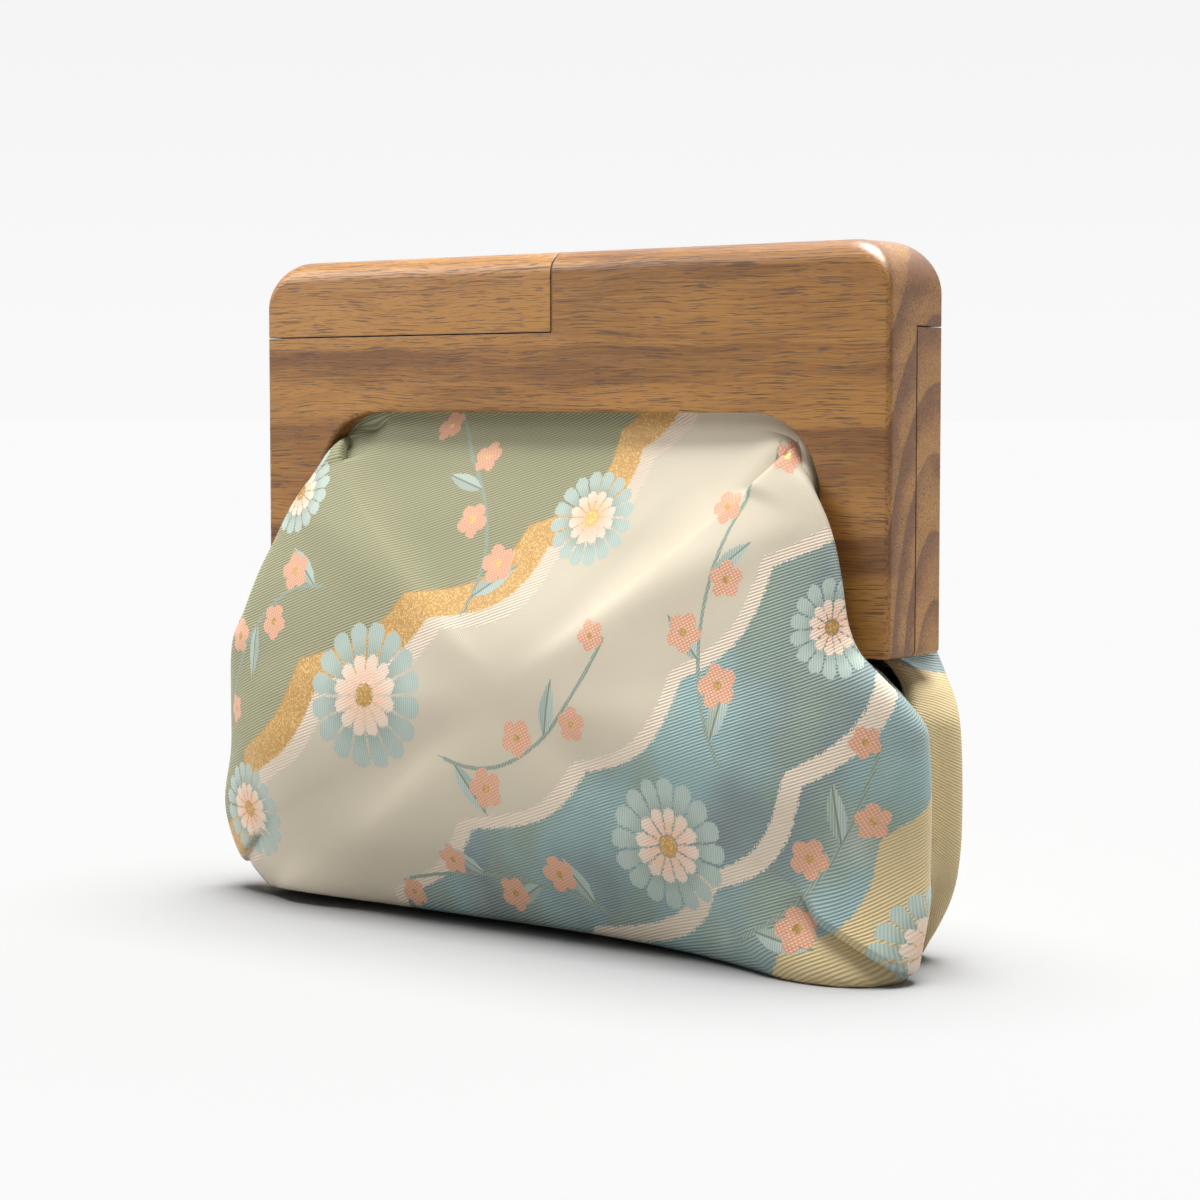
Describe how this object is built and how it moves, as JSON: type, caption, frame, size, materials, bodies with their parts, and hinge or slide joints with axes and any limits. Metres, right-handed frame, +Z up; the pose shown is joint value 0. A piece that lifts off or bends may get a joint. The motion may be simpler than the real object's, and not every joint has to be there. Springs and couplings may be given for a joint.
{
  "type": "clutch bag",
  "caption": "Wooden-framed clutch bag: U-shaped frame halves with interlocking lips, pinned at the feet of the legs, hold a soft darted brocade pouch that stands on its base.",
  "frame": {"origin": "on the floor under the middle of the bag's box", "axes": "+Z up, +X to the right along the bar as seen from the front, +Y from the front to the back"},
  "size_m": [0.2842, 0.0746, 0.218],
  "materials": {
    "frame_wood": "oiled satin, grain along the bar",
    "brocade": "jacquard weave with a slight sheen",
    "pin_steel": "drawn wire"
  },
  "bodies": {
    "root": {"frame_front": "frame_wood", "frame_back": "frame_wood", "panel_front": "brocade", "panel_back": "brocade", "hinge_pin_left": "pin_steel", "hinge_pin_right": "pin_steel"}
  },
  "joints": []
}
